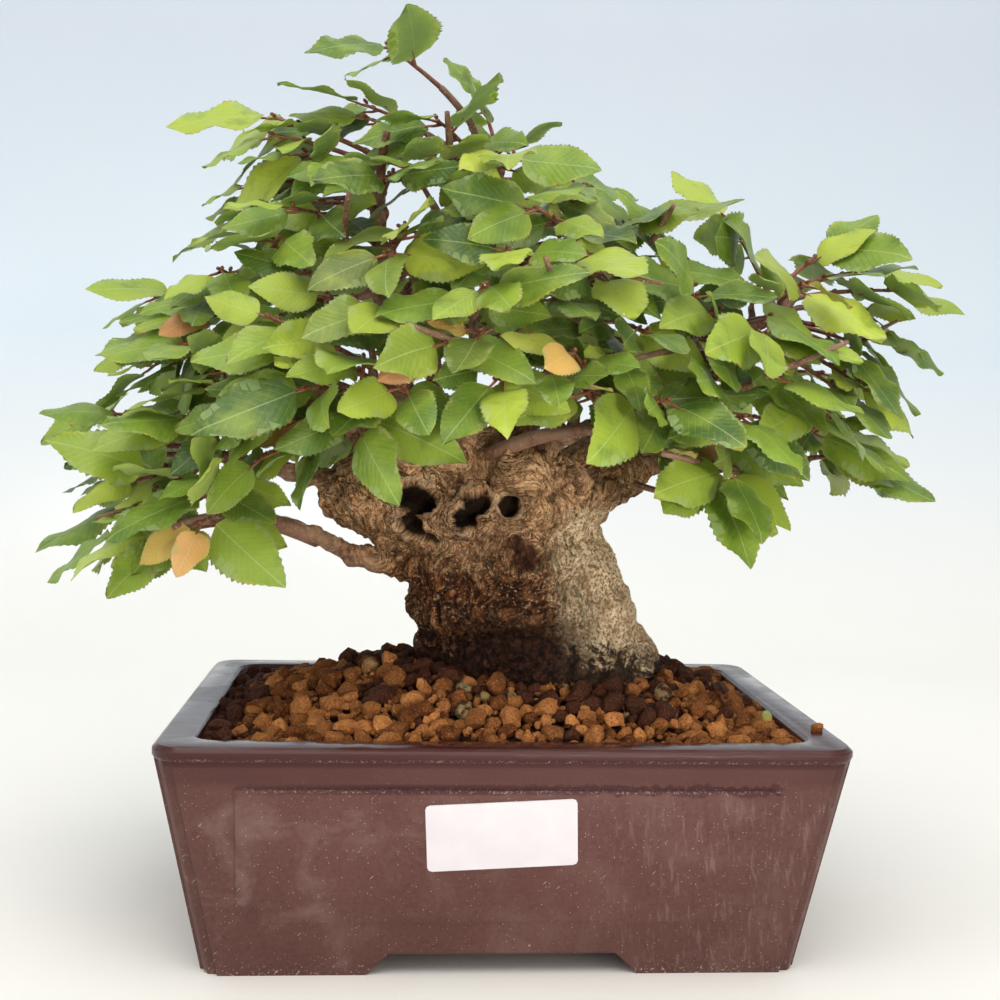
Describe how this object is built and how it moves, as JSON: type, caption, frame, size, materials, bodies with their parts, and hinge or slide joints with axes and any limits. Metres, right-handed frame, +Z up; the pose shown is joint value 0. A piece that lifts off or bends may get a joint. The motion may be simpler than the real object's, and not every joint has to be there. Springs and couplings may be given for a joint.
{
  "type": "korean hornbeam bonsai in a pot",
  "caption": "Korean hornbeam bonsai: burled trunk, twisting limbs and a wide crown of toothed leaves, in a footed rectangular stoneware pot with granular clay soil.",
  "frame": {"origin": "on the ground under the middle of the pot and crown", "axes": "+X to the tree's right as seen from its front, along the pot's length; the front looks towards -Y; +Z up"},
  "size_m": [0.2683, 0.1687, 0.2557],
  "materials": {
    "stoneware": "unglazed dark brown stoneware, matte with fine pale specks, its rim smoother and shinier",
    "label_paper": "blank white self-adhesive paper",
    "drain_plastic": "black plastic mesh",
    "clay_grains": "ochre baked clay grains, matte and porous",
    "bark": "beige-brown rippled bark with dark hollows",
    "leaf": "soft green leaf, satin above, with yellow-green and reddish ones among them"
  },
  "bodies": {
    "root": {"pot": "stoneware", "label": "label_paper", "drain_mesh_left": "drain_plastic", "drain_mesh_right": "drain_plastic", "soil": "clay_grains", "trunk": "bark", "spray_01": "leaf", "spray_02": "leaf", "spray_03": "leaf", "spray_04": "leaf", "spray_05": "leaf", "spray_06": "leaf", "spray_07": "leaf", "spray_08": "leaf", "spray_09": "leaf", "spray_10": "leaf", "spray_11": "leaf", "spray_12": "leaf", "spray_13": "leaf", "spray_14": "leaf", "spray_15": "leaf", "spray_16": "leaf", "spray_17": "leaf", "spray_18": "leaf", "spray_19": "leaf", "spray_20": "leaf", "spray_21": "leaf", "spray_22": "leaf", "spray_23": "leaf", "spray_24": "leaf", "spray_25": "leaf", "spray_26": "leaf", "spray_27": "leaf", "spray_28": "leaf", "spray_29": "leaf", "spray_30": "leaf", "spray_31": "leaf", "spray_32": "leaf", "spray_33": "leaf", "spray_34": "leaf", "spray_35": "leaf", "spray_36": "leaf", "spray_37": "leaf", "spray_38": "leaf", "spray_39": "leaf", "spray_40": "leaf", "spray_41": "leaf", "spray_42": "leaf", "spray_43": "leaf", "spray_44": "leaf", "spray_45": "leaf", "spray_46": "leaf", "spray_47": "leaf", "spray_48": "leaf", "spray_49": "leaf", "spray_50": "leaf", "spray_51": "leaf", "spray_52": "leaf", "spray_53": "leaf", "spray_54": "leaf"}
  },
  "joints": []
}
